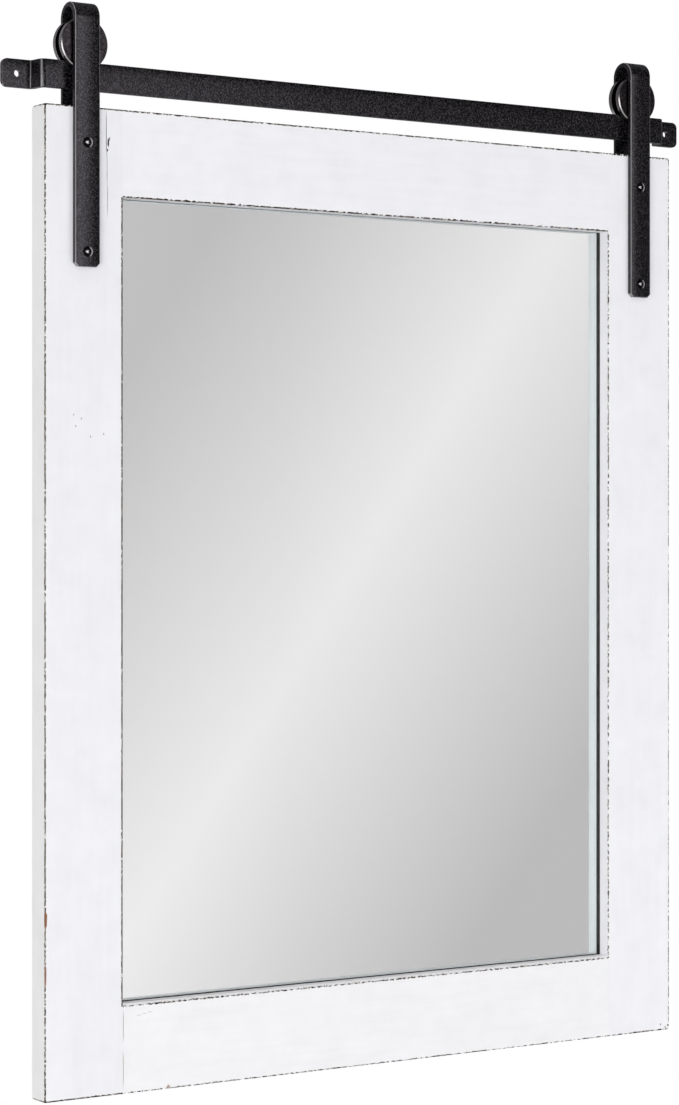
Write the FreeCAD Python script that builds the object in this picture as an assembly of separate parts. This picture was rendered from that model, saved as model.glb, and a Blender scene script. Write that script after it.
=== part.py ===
import FreeCAD
import Part
import math
import os

# Barn door wall mirror: a framed mirror that hangs from two strap hangers, whose
# grooved wheels roll along a flat bar track fixed to the wall.
# Frame of reference: X to the right, Y into the wall, Z up. The origin is midway
# between the two wall holes, on the wall plane. The mirror faces -Y.
# All sizes are millimetres.

# Wooden frame
frame_width = 559.0
frame_height = 695.0
frame_thickness = 20.0
board_width = 62.0
edge_round = 1.0
wall_gap = 2.5

# Mirror pane and what closes the back
rabbet_width = 8.0
pane_clearance = 0.5
glass_thickness = 3.0
silvering_thickness = 0.3
backing_thickness = 3.0
back_setback = 2.0

# Framing points that hold the backing board
point_length = 16.0
point_width = 9.0
point_thickness = 0.7
point_embed = 6.5
points_per_stile = 3
points_per_rail = 2
slit_clearance = 0.05

# Dowels of the corner joints
dowel_diameter = 8.0
dowel_length = 36.0
dowels_per_joint = 2
glue_clearance = 0.05

# Wall bumpers
bumper_diameter = 12.0

# Flat bar track with joggled ends
hole_overhang = 11.5
hole_to_end = 12.0
hole_to_bend = 9.0
wall_hole_diameter = 5.0
bar_height = 20.0
bar_thickness = 3.5
bar_to_frame = 12.0
bend_radius = 1.5
ramp_angle = math.radians(82.0)
tab_corner_round = 4.5
bar_edge_round = 0.5

# Strap hangers
strap_width = 20.0
strap_thickness = 3.5
strap_offset = 1.0
strap_let_in = 4.5
housing_clearance = 0.3
front_leg_drop = 112.5
back_leg_drop = 36.0
leg_corner_cut = 2.6
strap_edge_round = 1.2
loop_clearance = 2.9

# Strap screws
upper_screw_drop = 25.5
lower_screw_to_end = 10.5
back_screw_drop = 12.0
screw_head_diameter = 7.6
screw_shank_diameter = 4.0
screw_tip_length = 4.0
screw_cover = 2.5
recess_length = 4.2
recess_slot = 1.1
recess_depth = 1.1
screw_clearance = 0.05

# Wheels and axles
wheel_diameter = 36.8
groove_depth = 6.25
groove_side_clearance = 0.5
groove_flare = 0.5
rim_chamfer = 0.8
rolling_gap = 0.25
axle_diameter = 6.0
bushing_wall = 2.0
bushing_proud = 0.1
washer_diameter = 12.0
washer_thickness = 0.5
side_play = 0.15
running_clearance = 0.05
press_clearance = 0.02

# Planes of the wooden frame
side_x = frame_width / 2
opening_x = side_x - board_width
back_y = -wall_gap
front_y = back_y - frame_thickness
top_z = -bar_height / 2 - bar_to_frame
bottom_z = top_z - frame_height
opening_top_z = top_z - board_width
opening_bottom_z = bottom_z + board_width

# Stack of layers in the rabbet, from the lip of the frame to its back
pane_stack = glass_thickness + silvering_thickness + backing_thickness
rabbet_depth = pane_stack + point_thickness + back_setback
glass_y = back_y - rabbet_depth
silvering_y = glass_y + glass_thickness
backing_y = silvering_y + silvering_thickness
point_y = backing_y + backing_thickness

# Planes of the hangers: the front leg lies on the frame, the back leg in a housing behind it
strap_gap = frame_thickness - strap_let_in
leg_back_y = front_y + strap_gap
strap_front_y = front_y - strap_thickness
strap_back_y = leg_back_y + strap_thickness
wheel_y = front_y + strap_gap / 2
strap_x = side_x - board_width / 2 - strap_offset

# Wheels stand on the top edge of the bar, and the bar lies midway between the legs
bar_back_y = wheel_y + bar_thickness / 2
bar_front_y = wheel_y - bar_thickness / 2
wheel_radius = wheel_diameter / 2
tread_radius = wheel_radius - groove_depth
wheel_z = bar_height / 2 + rolling_gap + tread_radius
axle_radius = axle_diameter / 2
bushing_radius = axle_radius + bushing_wall
bushing_length = strap_gap - 2 * (washer_thickness + side_play)
wheel_width = bushing_length - 2 * bushing_proud

# Bend of the strap, clear of the wheel's upper corners
loop_rise = math.sqrt((strap_gap / 2) ** 2 - (wheel_width / 2) ** 2)
loop_z = wheel_z + wheel_radius + loop_clearance - loop_rise

# Wall holes and screw heights
wall_hole_x = side_x + hole_overhang
track_end_x = wall_hole_x + hole_to_end
screw_length = strap_thickness + strap_gap - screw_cover
upper_screw_z = top_z - upper_screw_drop
lower_screw_z = top_z - front_leg_drop + lower_screw_to_end
back_screw_z = top_z - back_screw_drop

LEFT = -1
RIGHT = 1
SIDES = {"left": LEFT, "right": RIGHT}
ALONG_X = FreeCAD.Vector(1, 0, 0)
ALONG_Y = FreeCAD.Vector(0, 1, 0)
ALONG_Z = FreeCAD.Vector(0, 0, 1)


def block(x_limits, y_limits, z_limits):
    """Box between two limits on each axis, given in either order."""
    low = [min(limits) for limits in (x_limits, y_limits, z_limits)]
    high = [max(limits) for limits in (x_limits, y_limits, z_limits)]
    size = [end - start for start, end in zip(low, high)]
    return Part.makeBox(size[0], size[1], size[2], FreeCAD.Vector(*low))


def rod(radius, start, direction, length):
    """Cylinder of a radius from a start point along a direction."""
    return Part.makeCylinder(radius, length, FreeCAD.Vector(*start), direction)


def tube(outer_radius, inner_radius, start, direction, length):
    """Hollow cylinder from a start point along a direction."""
    bore = rod(inner_radius, start, direction, length)
    return rod(outer_radius, start, direction, length).cut(bore)


def edges_near(shape, test):
    """Edges of a shape whose middle point passes a test."""
    chosen = []
    for edge in shape.Edges:
        middle = edge.valueAt((edge.FirstParameter + edge.LastParameter) / 2)
        if test(middle):
            chosen.append(edge)
    return chosen


def near(value, target):
    """True where two lengths are the same within drawing precision."""
    return abs(value - target) < 1e-4


def evenly(start, end, count):
    """Middles of equal stretches between two limits."""
    step = (end - start) / count
    return [start + (index + 0.5) * step for index in range(count)]


def save(name, solids):
    """Write one node, a single solid or a group of separate solids."""
    shape = solids[0] if len(solids) == 1 else Part.makeCompound(solids)
    shape.exportStep("parts/" + name + ".step")


# Countersunk screws

def screw_profile(clearance, tip_length):
    """Turned outline of a countersunk screw, head face at 0 and point along +Y."""
    head_radius = screw_head_diameter / 2 + clearance
    shank_radius = screw_shank_diameter / 2 + clearance
    head_height = (screw_head_diameter - screw_shank_diameter) / 2
    points = [
        FreeCAD.Vector(0, 0, 0),
        FreeCAD.Vector(head_radius, 0, 0),
        FreeCAD.Vector(shank_radius, head_height, 0),
        FreeCAD.Vector(shank_radius, screw_length - tip_length, 0),
        FreeCAD.Vector(0, screw_length, 0),
        FreeCAD.Vector(0, 0, 0),
    ]
    face = Part.Face(Part.makePolygon(points))
    return face.revolve(FreeCAD.Vector(0, 0, 0), ALONG_Y, 360)


def cross_recess():
    """Tapered cross driven into the head face."""
    half_slot = recess_slot / 2
    half_length = recess_length / 2
    across = block((-half_length, half_length), (0, recess_depth), (-half_slot, half_slot))
    upright = block((-half_slot, half_slot), (0, recess_depth), (-half_length, half_length))
    return across.fuse(upright).removeSplitter()


def set_screw(shape, x, y, z, from_front):
    """Place a screw shape so that its head face is at a point, pointing into the frame."""
    placed = shape.copy()
    if not from_front:
        placed.rotate(FreeCAD.Vector(0, 0, 0), ALONG_Z, 180)
    placed.translate(FreeCAD.Vector(x, y, z))
    return placed


def front_screw_places(side):
    """Head centres of the two screws in the front leg."""
    return [(side * strap_x, strap_front_y, z, True) for z in (upper_screw_z, lower_screw_z)]


def back_screw_places(side):
    """Head centre of the screw in the back leg."""
    return [(side * strap_x, strap_back_y, back_screw_z, False)]


def screws(places):
    screw = screw_profile(0.0, screw_tip_length).cut(cross_recess())
    return [set_screw(screw, *place) for place in places]


def screw_holes(side):
    """Countersinks and pilot holes of one hanger, as one cutting shape."""
    hole = screw_profile(screw_clearance, screw_tip_length / 2)
    places = front_screw_places(side) + back_screw_places(side)
    return Part.makeCompound([set_screw(hole, *place) for place in places])


# Wooden frame

def rabbet_pocket():
    """Space behind the lip of the frame that holds the pane and the backing."""
    reach_x = opening_x + rabbet_width
    z_limits = (opening_bottom_z - rabbet_width, opening_top_z + rabbet_width)
    return block((-reach_x, reach_x), (glass_y, back_y), z_limits)


def dowel_heights():
    """Heights of the dowels in the top and in the bottom rail, clear of the rabbet."""
    top = evenly(opening_top_z + rabbet_width, top_z, dowels_per_joint)
    bottom = evenly(bottom_z, opening_bottom_z - rabbet_width, dowels_per_joint)
    return {"top": top, "bottom": bottom}


def dowels(rail, clearance):
    """Dowels across both ends of one rail."""
    middle_y = (front_y + back_y) / 2
    length = dowel_length + 2 * clearance
    radius = dowel_diameter / 2 + clearance
    pegs = []
    for side in SIDES.values():
        for z in dowel_heights()[rail]:
            start = (side * opening_x - length / 2, middle_y, z)
            pegs.append(rod(radius, start, ALONG_X, length))
    return pegs


def framing_points(clearance):
    """Thin plates over the backing board, half driven into the rabbet walls."""
    half_width = point_width / 2 + clearance
    y_limits = (point_y - clearance, point_y + point_thickness + clearance)
    wall_x = opening_x + rabbet_width
    plates = []
    for side in SIDES.values():
        deep_x = side * (wall_x + point_embed + clearance)
        tip_x = side * (wall_x + point_embed - point_length)
        for z in evenly(opening_bottom_z, opening_top_z, points_per_stile):
            plates.append(block((deep_x, tip_x), y_limits, (z - half_width, z + half_width)))
    rail_walls = ((opening_top_z + rabbet_width, 1), (opening_bottom_z - rabbet_width, -1))
    for wall_z, outward in rail_walls:
        deep_z = wall_z + outward * (point_embed + clearance)
        tip_z = wall_z + outward * (point_embed - point_length)
        for x in evenly(-opening_x, opening_x, points_per_rail):
            plates.append(block((x - half_width, x + half_width), y_limits, (deep_z, tip_z)))
    return plates


def strap_housing(side):
    """Shallow housing in the back of a stile, open at the top, for the back leg."""
    half_width = strap_width / 2 + housing_clearance
    x = side * strap_x
    z_limits = (top_z - back_leg_drop - housing_clearance, top_z)
    return block((x - half_width, x + half_width), (leg_back_y, back_y), z_limits)


def rounding_strip(corner, toward, direction, length):
    """Sliver outside a rounded corner, for easing part of a straight edge."""
    centre = corner + toward * edge_round
    far = centre + direction * length
    sliver = block((corner.x, far.x), (corner.y, far.y), (corner.z, far.z))
    return sliver.cut(rod(edge_round, (centre.x, centre.y, centre.z), direction, length))


def stile(side):
    """Full-height upright board with its rabbet, housing and holes."""
    board = block((side * opening_x, side * side_x), (front_y, back_y), (bottom_z, top_z))
    middle_z = (top_z + bottom_z) / 2

    def on_outer_edge(middle):
        upright = near(middle.z, middle_z) and near(middle.x, side * side_x)
        across_end = not near(middle.z, middle_z) and near(middle.y, front_y)
        return upright or across_end

    board = board.makeFillet(edge_round, edges_near(board, on_outer_edge))
    corner = FreeCAD.Vector(side * opening_x, front_y, opening_bottom_z)
    toward = FreeCAD.Vector(side, 1, 0)
    tools = [rabbet_pocket(), strap_housing(side), screw_holes(side)]
    tools += dowels("top", glue_clearance) + dowels("bottom", glue_clearance)
    tools += framing_points(slit_clearance)
    tools.append(rounding_strip(corner, toward, ALONG_Z, opening_top_z - opening_bottom_z))
    return board.cut(tools)


def rail(name):
    """Cross board between the stiles with its rabbet and dowel holes."""
    outer_z = {"top": top_z, "bottom": bottom_z}[name]
    inner_z = {"top": opening_top_z, "bottom": opening_bottom_z}[name]
    outward = {"top": 1, "bottom": -1}[name]
    board = block((-opening_x, opening_x), (front_y, back_y), (inner_z, outer_z))

    def on_outer_edge(middle):
        return near(middle.z, outer_z) and near(middle.x, 0)

    board = board.makeFillet(edge_round, edges_near(board, on_outer_edge))
    corner = FreeCAD.Vector(-opening_x, front_y, inner_z)
    toward = FreeCAD.Vector(0, 1, outward)
    tools = [rabbet_pocket()] + dowels(name, glue_clearance) + framing_points(slit_clearance)
    tools.append(rounding_strip(corner, toward, ALONG_X, 2 * opening_x))
    return board.cut(tools)


def pane(y, thickness):
    """Sheet that fills the rabbet, less a clearance all round."""
    reach = rabbet_width - pane_clearance
    x_limits = (-opening_x - reach, opening_x + reach)
    return block(x_limits, (y, y + thickness), (opening_bottom_z - reach, opening_top_z + reach))


def wall_bumpers():
    """Soft pads low on the stiles that keep the frame off the wall."""
    x = side_x - board_width / 2
    z = bottom_z + board_width / 2
    pads = []
    for side in SIDES.values():
        pads.append(rod(bumper_diameter / 2, (side * x, back_y, z), ALONG_Y, wall_gap))
    return pads


# Track

def joggle_outline():
    """Front and back outlines of the left half of the track, from the tab to the middle."""
    outer_radius = bend_radius + bar_thickness
    both_radii = bend_radius + outer_radius
    sine = math.sin(ramp_angle)
    cosine = math.cos(ramp_angle)
    bend_x = -wall_hole_x + hole_to_bend
    tab_front_y = -bar_thickness
    ramp_length = (-bar_back_y + tab_front_y - 2 * bend_radius + both_radii * cosine) / sine
    across = FreeCAD.Vector(sine, cosine, 0)
    along = FreeCAD.Vector(cosine, -sine, 0)
    half_turn = FreeCAD.Vector(math.sin(ramp_angle / 2), math.cos(ramp_angle / 2), 0)
    first = FreeCAD.Vector(bend_x, tab_front_y - bend_radius, 0)
    second = first + across * both_radii + along * ramp_length

    def side_edges(tab_y, bar_y, first_radius, second_radius):
        tab_end = FreeCAD.Vector(-track_end_x, tab_y, 0)
        bend_start = FreeCAD.Vector(bend_x, tab_y, 0)
        ramp_start = first + across * first_radius
        ramp_end = second - across * second_radius
        bar_start = FreeCAD.Vector(second.x, bar_y, 0)
        return [
            Part.makeLine(tab_end, bend_start),
            Part.Arc(bend_start, first + half_turn * first_radius, ramp_start).toShape(),
            Part.makeLine(ramp_start, ramp_end),
            Part.Arc(ramp_end, second - half_turn * second_radius, bar_start).toShape(),
            Part.makeLine(bar_start, FreeCAD.Vector(0, bar_y, 0)),
        ]

    front = side_edges(tab_front_y, bar_front_y, bend_radius, outer_radius)
    back = side_edges(0, bar_back_y, outer_radius, bend_radius)
    return front + back


def track_bar():
    """Flat bar, joggled back to the wall at both ends, with a hole in each tab."""
    left_half = joggle_outline()
    right_half = [edge.mirror(FreeCAD.Vector(0, 0, 0), ALONG_X) for edge in left_half]
    ends = []
    for side in SIDES.values():
        x = side * track_end_x
        ends.append(Part.makeLine(FreeCAD.Vector(x, -bar_thickness, 0), FreeCAD.Vector(x, 0, 0)))
    outline = Part.Wire(Part.__sortEdges__(left_half + right_half + ends))
    bar = Part.Face(outline).extrude(ALONG_Z * bar_height)
    bar.translate(ALONG_Z * (-bar_height / 2))
    bar = bar.removeSplitter()

    def on_tab_corner(middle):
        return near(abs(middle.x), track_end_x) and near(abs(middle.z), bar_height / 2)

    bar = bar.makeFillet(tab_corner_round, edges_near(bar, on_tab_corner))

    def on_rim(middle):
        on_long_edge = near(abs(middle.z), bar_height / 2)
        on_tab_end = abs(middle.x) > track_end_x - tab_corner_round
        on_face_edge = not near(middle.y, -bar_thickness / 2)
        return on_long_edge or (on_tab_end and on_face_edge)

    bar = bar.makeFillet(bar_edge_round, edges_near(bar, on_rim))
    holes = []
    for side in SIDES.values():
        start = (side * wall_hole_x, -2 * bar_thickness, 0)
        holes.append(rod(wall_hole_diameter / 2, start, ALONG_Y, 3 * bar_thickness))
    return bar.cut(holes)


# Hangers and wheels

def hanger_strap(side):
    """Flat strap on the frame's front, bent over the wheel and down into the frame's back."""
    front_end_z = top_z - front_leg_drop
    back_end_z = top_z - back_leg_drop
    inner_radius = strap_gap / 2
    outer_radius = inner_radius + strap_thickness
    left_x = side * strap_x - strap_width / 2

    def corner(y, z):
        return FreeCAD.Vector(left_x, y, z)

    outline = [
        Part.makeLine(corner(strap_front_y, front_end_z), corner(strap_front_y, loop_z)),
        Part.Arc(corner(strap_front_y, loop_z), corner(wheel_y, loop_z + outer_radius),
                 corner(strap_back_y, loop_z)).toShape(),
        Part.makeLine(corner(strap_back_y, loop_z), corner(strap_back_y, back_end_z)),
        Part.makeLine(corner(strap_back_y, back_end_z), corner(leg_back_y, back_end_z)),
        Part.makeLine(corner(leg_back_y, back_end_z), corner(leg_back_y, loop_z)),
        Part.Arc(corner(leg_back_y, loop_z), corner(wheel_y, loop_z + inner_radius),
                 corner(front_y, loop_z)).toShape(),
        Part.makeLine(corner(front_y, loop_z), corner(front_y, front_end_z)),
        Part.makeLine(corner(front_y, front_end_z), corner(strap_front_y, front_end_z)),
    ]
    strap = Part.Face(Part.Wire(outline)).extrude(ALONG_X * strap_width)

    def at_front_end(middle):
        return near(middle.z, front_end_z) and near(middle.y, (strap_front_y + front_y) / 2)

    strap = strap.makeChamfer(leg_corner_cut, edges_near(strap, at_front_end))

    def on_outer_rim(middle):
        at_side = near(abs(middle.x - side * strap_x), strap_width / 2)
        on_front = near(middle.y, strap_front_y) and not near(middle.z, loop_z)
        on_back = near(middle.y, strap_back_y) and at_side
        from_bend_centre = math.hypot(middle.y - wheel_y, middle.z - loop_z)
        on_bend = near(from_bend_centre, outer_radius) and middle.z > loop_z and at_side
        return on_front or on_back or on_bend

    strap = strap.makeFillet(strap_edge_round, edges_near(strap, on_outer_rim))
    axle_start = (side * strap_x, strap_front_y, wheel_z)
    axle_hole = rod(axle_radius + press_clearance, axle_start, ALONG_Y, strap_back_y - strap_front_y)
    return strap.cut([axle_hole, screw_holes(side)])


def wheel(side):
    """Grooved wheel turned about its axle, two rims with a flared groove between."""
    half_width = wheel_width / 2
    half_groove = bar_thickness / 2 + groove_side_clearance
    half_mouth = half_groove + groove_flare
    bore_radius = bushing_radius + press_clearance
    rim_radius = wheel_radius - rim_chamfer
    half_outline = [
        (bore_radius, half_width),
        (rim_radius, half_width),
        (wheel_radius, half_width - rim_chamfer),
        (wheel_radius, half_mouth),
        (tread_radius, half_groove),
    ]
    outline = half_outline + [(radius, -offset) for radius, offset in reversed(half_outline)]
    outline.append(outline[0])
    centre = FreeCAD.Vector(side * strap_x, wheel_y, wheel_z)
    points = [centre + FreeCAD.Vector(radius, offset, 0) for radius, offset in outline]
    return Part.Face(Part.makePolygon(points)).revolve(centre, ALONG_Y, 360)


def wheel_bushing(side):
    """Plain bushing pressed into the wheel and running on the axle."""
    start = (side * strap_x, wheel_y - bushing_length / 2, wheel_z)
    return tube(bushing_radius, axle_radius + running_clearance, start, ALONG_Y, bushing_length)


def wheel_washers(side):
    """Washers between the wheel and the two legs of the strap."""
    outer_radius = washer_diameter / 2
    inner_radius = axle_radius + press_clearance
    rings = []
    for y in (front_y, leg_back_y - washer_thickness):
        start = (side * strap_x, y, wheel_z)
        rings.append(tube(outer_radius, inner_radius, start, ALONG_Y, washer_thickness))
    return rings


def axle(side):
    """Axle through both legs, riveted flush with their outer faces."""
    length = strap_back_y - strap_front_y
    return rod(axle_radius, (side * strap_x, strap_front_y, wheel_z), ALONG_Y, length)


os.makedirs("parts", exist_ok=True)

save("track_bar", [track_bar()])
for side_name, side_sign in SIDES.items():
    save(side_name + "_stile", [stile(side_sign)])
    save(side_name + "_hanger_strap", [hanger_strap(side_sign)])
    save(side_name + "_wheel", [wheel(side_sign)])
    save(side_name + "_wheel_bushing", [wheel_bushing(side_sign)])
    save(side_name + "_wheel_washers", wheel_washers(side_sign))
    save(side_name + "_axle", [axle(side_sign)])
    save(side_name + "_front_screws", screws(front_screw_places(side_sign)))
    save(side_name + "_back_screw", screws(back_screw_places(side_sign)))
for rail_name in ("top", "bottom"):
    save(rail_name + "_rail", [rail(rail_name)])
    save(rail_name + "_rail_dowels", dowels(rail_name, 0.0))
save("mirror_glass", [pane(glass_y, glass_thickness)])
save("mirror_silvering", [pane(silvering_y, silvering_thickness)])
save("backing_board", [pane(backing_y, backing_thickness)])
save("framing_points", framing_points(0.0))
save("wall_bumpers", wall_bumpers())
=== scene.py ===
# Looks of the barn door wall mirror: worn white boards, black hardware and a silvered pane.
import math
import random

import bmesh
import bpy
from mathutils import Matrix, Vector


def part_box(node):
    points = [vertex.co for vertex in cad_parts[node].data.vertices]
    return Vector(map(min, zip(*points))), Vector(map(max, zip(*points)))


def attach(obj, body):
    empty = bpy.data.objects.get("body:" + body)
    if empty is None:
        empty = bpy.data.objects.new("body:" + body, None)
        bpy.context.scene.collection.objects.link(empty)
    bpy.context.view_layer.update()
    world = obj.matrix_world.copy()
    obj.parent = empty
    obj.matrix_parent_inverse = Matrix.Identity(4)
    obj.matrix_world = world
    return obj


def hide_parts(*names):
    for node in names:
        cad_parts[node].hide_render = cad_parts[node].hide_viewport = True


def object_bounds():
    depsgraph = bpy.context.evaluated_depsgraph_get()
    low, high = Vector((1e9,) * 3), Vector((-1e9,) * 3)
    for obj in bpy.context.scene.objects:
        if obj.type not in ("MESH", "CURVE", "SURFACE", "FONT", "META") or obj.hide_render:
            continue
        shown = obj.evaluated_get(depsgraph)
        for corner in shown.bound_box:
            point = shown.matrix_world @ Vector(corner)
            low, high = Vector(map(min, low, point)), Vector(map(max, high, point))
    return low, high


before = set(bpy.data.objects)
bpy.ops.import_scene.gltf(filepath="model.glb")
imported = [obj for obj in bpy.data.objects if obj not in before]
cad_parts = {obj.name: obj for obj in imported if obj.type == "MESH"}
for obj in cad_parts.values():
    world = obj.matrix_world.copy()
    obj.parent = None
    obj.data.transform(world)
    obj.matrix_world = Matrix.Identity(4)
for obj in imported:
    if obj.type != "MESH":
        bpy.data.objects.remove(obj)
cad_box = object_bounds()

MM = 0.001
DOOR = "mirror_door"
SIDES = {"left": -1, "right": 1}

# Board shaping, in millimetres, with arrises rounded in a few steps
ARRIS_ROUND = 1.0
ARRIS_STEPS = 4
JOINT_HAIRLINE = 0.2
PANE_CLEARANCE = 0.5
STRAP_CLEARANCE = 0.3
STRAP_LET_IN = 4.5
BACK_LEG_DROP = 36.0
CUT_OVERRUN = 3.0

# How near the back a face counts as the back, and how near two places count as the same, in
# millimetres; then where the raw pine of the back stands among a board's finishes
BACK_SKIN = 0.2
SAME_PLACE = 0.01
RAW_PINE = 1

# The lip in front of the pane: how far the rabbet bites into it, how far it stands above the solid,
# and the width and the steps of its arris
LIP_RELIEF = {"stile": 0.5, "top": 0.5, "bottom": 0.8}
LIP_RISE = {"top": 0.0, "bottom": 1.5}
LIP_ARRIS = {"top": (ARRIS_ROUND, ARRIS_STEPS), "bottom": (1.8, 1)}

# Chips along an arris, in millimetres, and as shares of their spacing, their step and their bite
CHIP_STEP = (0.5, 1.6)
CHIP_REACH = 0.44
CHIP_HALF_LENGTH = (0.7, 4.0)
CHIP_BITE = (0.7, 1.3)
CHIP_DEPTH = 0.35
DEPTH_OF_BITE = 0.3
CHIP_UNEVEN = 0.12
CORNER_MARGIN = 4.0
CORNER_DEPTH = 0.8

# Brush marks in the paint, in millimetres
STREAK_WIDTH = 4.0
STREAK_LENGTH = 60.0
CLOUD_SIZE = 26.0
FILM_THICKNESS = 0.15

# Rubbing of the paint along the arrises, in millimetres: the size of each pattern, how much of the
# rubbing it gives, a limit for the first two together, the widths of the two soft edges, and the size
# of the stains in the bare wood
FRAY_SIZE = 1.8
FRAY_DEPTH = 6.0
STRETCH_SIZE = 24.0
STRETCH_DEPTH = 2.0
RAG_SIZE = 0.9
RAG_DEPTH = 1.8
RUB_LIMIT = 0.75
BARE_EDGE = 0.1
THIN_EDGE = 0.45
STAIN_SIZE = 9.0

# How far inside the right, the top and the low arrises the rubbing has its middle, in millimetres
RIGHT_RUB = {"left": 0.7, "right": 0.55}
TOP_RUB = {"left": 0.3, "right": 0.75, "top": 0.5, "bottom": 0.0}
LOW_RUB = 0.35

# Half length that puts a rail's butted ends out of reach of the rubbing, in millimetres
BUTTED_ENDS = 1.0e4

# Painted light: a tint multiplied into each stile's paint on the faces towards the left, a little warmer on
# the left stile
LEFT_FACE_PAINTED_LIGHT = {"left": "#FFFFFB", "right": "#FFFFFF"}

# Camera: place in metres, turn in degrees, lens and sensor in millimetres, shifts as shares of the frame
CAMERA_PLACE = (-1.2320, -1.8528, -0.3198)
CAMERA_YAW = -33.2
CAMERA_LENS = 96.32
CAMERA_SENSOR = 36.0
SIDE_SHIFT = -0.0007
HORIZON_SHIFT = -0.0190


def linear(hex_colour):
    """An sRGB hex colour as the linear colour that the shaders take."""
    channels = [int(hex_colour[i:i + 2], 16) / 255.0 for i in (1, 3, 5)]
    straight = [c / 12.92 if c <= 0.04045 else ((c + 0.055) / 1.055) ** 2.4 for c in channels]
    return (*straight, 1.0)


def per_mm(*sizes):
    """Texture scale, for coordinates in metres, that gives a pattern of these sizes in millimetres."""
    scales = [1.0 / (size * MM) for size in sizes]
    return scales[0] if len(scales) == 1 else scales


def add_node(tree, kind, inputs=None, stops=(), **settings):
    """Adds one node with its settings, its ramp stops and its inputs: values, nodes or sockets."""
    made = tree.nodes.new(kind)
    for setting, value in settings.items():
        setattr(made, setting, value)
    for index, (place, colour) in enumerate(stops):
        ramp = made.color_ramp.elements
        stop = ramp[index] if index < 2 else ramp.new(place)
        stop.position = place
        stop.color = colour
    sockets = [socket for socket in made.inputs if socket.enabled]
    for key, value in (inputs or {}).items():
        socket = sockets[key] if isinstance(key, int) else next(s for s in sockets if s.name == key)
        if isinstance(value, bpy.types.Node):
            value = next(s for s in value.outputs if s.enabled)
        if isinstance(value, bpy.types.NodeSocket):
            tree.links.new(value, socket)
        else:
            socket.default_value = value
    return made


def new_material(name):
    """An empty node material and its tree."""
    material = bpy.data.materials.new(name)
    material.use_nodes = True
    material.node_tree.nodes.clear()
    return material, material.node_tree


def along_grain(grain_axis, width, length):
    """Sizes along X, Y and Z of a pattern that is drawn out along the grain."""
    return {"X": (length, width, width), "Z": (width, width, length)}[grain_axis]


# Paint and wood

def arris_distance(tree, place, low, high, grain_axis, opening, inner_side):
    """Distance in millimetres to a board's nearest arris, leaving out those at the back, the rails'
    butted ends and the part of a stile's inner side that a rail covers. An arris is where two faces
    meet, so this is the second smallest of the distances to the faces."""
    centre = (low + high) / 2 / MM
    half = (high - low) / 2 / MM
    if grain_axis == "X":
        half.x = BUTTED_ENDS
    middle = add_node(tree, "ShaderNodeMapping",
                      {"Vector": place, "Location": -centre, "Scale": (1 / MM,) * 3})
    away = add_node(tree, "ShaderNodeVectorMath", {0: middle}, operation="ABSOLUTE")
    inset = add_node(tree, "ShaderNodeVectorMath", {0: half, 1: away}, operation="SUBTRACT")
    gap = add_node(tree, "ShaderNodeSeparateXYZ", {0: inset}).outputs
    across = add_node(tree, "ShaderNodeSeparateXYZ", {0: middle}).outputs
    behind = add_node(tree, "ShaderNodeMath", {0: across["Y"], 1: half.y}, operation="ADD")
    gap_x = gap["X"]
    if opening:
        toward = add_node(tree, "ShaderNodeMath", {0: across["X"], 1: inner_side}, operation="MULTIPLY")
        inner = add_node(tree, "ShaderNodeMath", {0: toward, 1: 0.0}, operation="GREATER_THAN")
        end_gap = (high.z - low.z) / 2 / MM - (opening[1] - opening[0]) / 2 / MM
        beside_rail = add_node(tree, "ShaderNodeMath", {0: gap["Z"], 1: end_gap}, operation="LESS_THAN")
        jointed = add_node(tree, "ShaderNodeMath", {0: inner, 1: beside_rail}, operation="MULTIPLY")
        gap_x = add_node(tree, "ShaderNodeMath", {0: jointed, 1: half.x, 2: gap_x},
                         operation="MULTIPLY_ADD")
    nearer = add_node(tree, "ShaderNodeMath", {0: gap_x, 1: behind}, operation="MINIMUM")
    farther = add_node(tree, "ShaderNodeMath", {0: gap_x, 1: behind}, operation="MAXIMUM")
    third = add_node(tree, "ShaderNodeMath", {0: farther, 1: gap["Z"]}, operation="MINIMUM")
    return add_node(tree, "ShaderNodeMath", {0: nearer, 1: third}, operation="MAXIMUM")


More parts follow.
